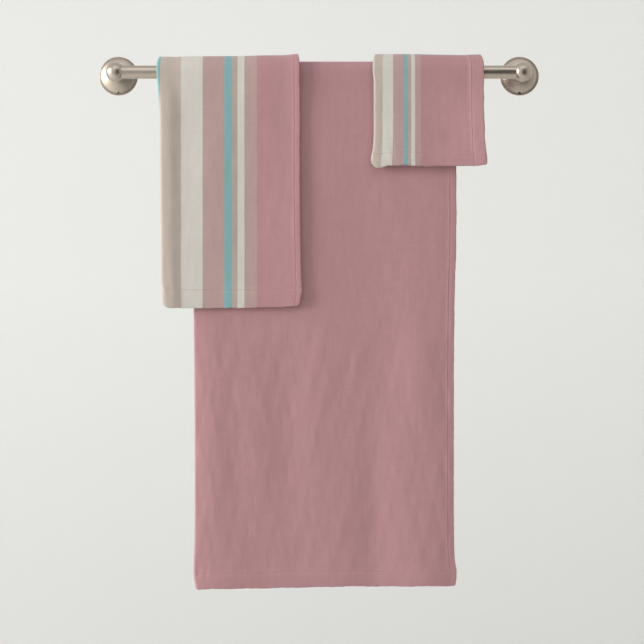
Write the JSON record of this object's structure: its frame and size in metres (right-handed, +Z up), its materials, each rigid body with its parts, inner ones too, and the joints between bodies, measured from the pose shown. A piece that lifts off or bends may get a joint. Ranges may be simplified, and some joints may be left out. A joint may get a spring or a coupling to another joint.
{
  "type": "bath towel set",
  "caption": "Bath towel, hand towel and washcloth, each folded lengthwise and hung over a wall-mounted towel rail with round flanges and ball-headed posts.",
  "frame": {"origin": "on the wall plane, midway between the two posts and at the height of the bar's axis", "axes": "+Z up, +X to the right as seen from the room, +Y into the wall; the room is towards -Y"},
  "size_m": [0.658, 0.1275, 0.786],
  "materials": {
    "brushed_nickel": "satin",
    "zinc": "matte",
    "screw_steel": "satin",
    "plug_plastic": "matte",
    "rose_cloth": "matte",
    "striped_cloth": "matte",
    "hem_cloth": "matte"
  },
  "bodies": {
    "rail": {"rail_bar": "brushed_nickel", "left_flange": "brushed_nickel", "left_post": "brushed_nickel", "left_wall_bracket": "zinc", "left_post_washer": "screw_steel", "left_post_screw": "screw_steel", "left_set_screw": "screw_steel", "left_upper_wall_screw": "screw_steel", "left_lower_wall_screw": "screw_steel", "left_upper_wall_plug": "plug_plastic", "left_lower_wall_plug": "plug_plastic", "right_flange": "brushed_nickel", "right_post": "brushed_nickel", "right_wall_bracket": "zinc", "right_post_washer": "screw_steel", "right_post_screw": "screw_steel", "right_set_screw": "screw_steel", "right_upper_wall_screw": "screw_steel", "right_lower_wall_screw": "screw_steel", "right_upper_wall_plug": "plug_plastic", "right_lower_wall_plug": "plug_plastic"},
    "bath_towel": {"bath_towel_saddle": "rose_cloth", "bath_towel_front": "rose_cloth", "bath_towel_front_side_hem": "hem_cloth", "bath_towel_front_end_hem": "hem_cloth", "bath_towel_back": "rose_cloth", "bath_towel_back_side_hem": "hem_cloth", "bath_towel_back_end_hem": "hem_cloth"},
    "hand_towel": {"hand_towel_saddle": "striped_cloth", "hand_towel_back": "striped_cloth", "hand_towel_back_side_hem": "hem_cloth", "hand_towel_back_end_hem": "striped_cloth"},
    "hand_towel_front_leaf": {"hand_towel_front": "striped_cloth", "hand_towel_front_side_hem": "hem_cloth", "hand_towel_front_end_hem": "striped_cloth"},
    "washcloth": {"washcloth_saddle": "striped_cloth", "washcloth_back": "striped_cloth", "washcloth_back_side_hem": "hem_cloth", "washcloth_back_end_hem": "striped_cloth"},
    "washcloth_front_leaf": {"washcloth_front": "striped_cloth", "washcloth_front_side_hem": "hem_cloth", "washcloth_front_end_hem": "striped_cloth"}
  },
  "joints": [
    {"name": "bath_towel_slide", "type": "slide", "parent": "rail", "child": "bath_towel", "axis": [1, 0, 0], "range_m": [-0.1, 0.085]},
    {"name": "hand_towel_slide", "type": "slide", "parent": "rail", "child": "hand_towel", "axis": [1, 0, 0], "range_m": [-0.05, 0.05]},
    {"name": "washcloth_slide", "type": "slide", "parent": "rail", "child": "washcloth", "axis": [1, 0, 0], "range_m": [-0.045, 0.04]},
    {"name": "hand_towel_front_lift", "type": "hinge", "parent": "hand_towel", "child": "hand_towel_front_leaf", "pos_m": [-0.13025, -0.0915, -0.0041], "axis": [-1, 0, 0], "range_deg": [0, 35]},
    {"name": "washcloth_front_lift", "type": "hinge", "parent": "washcloth", "child": "washcloth_front_leaf", "pos_m": [0.16225, -0.0935, -0.0043], "axis": [-1, 0, 0], "range_deg": [0, 35]}
  ]
}
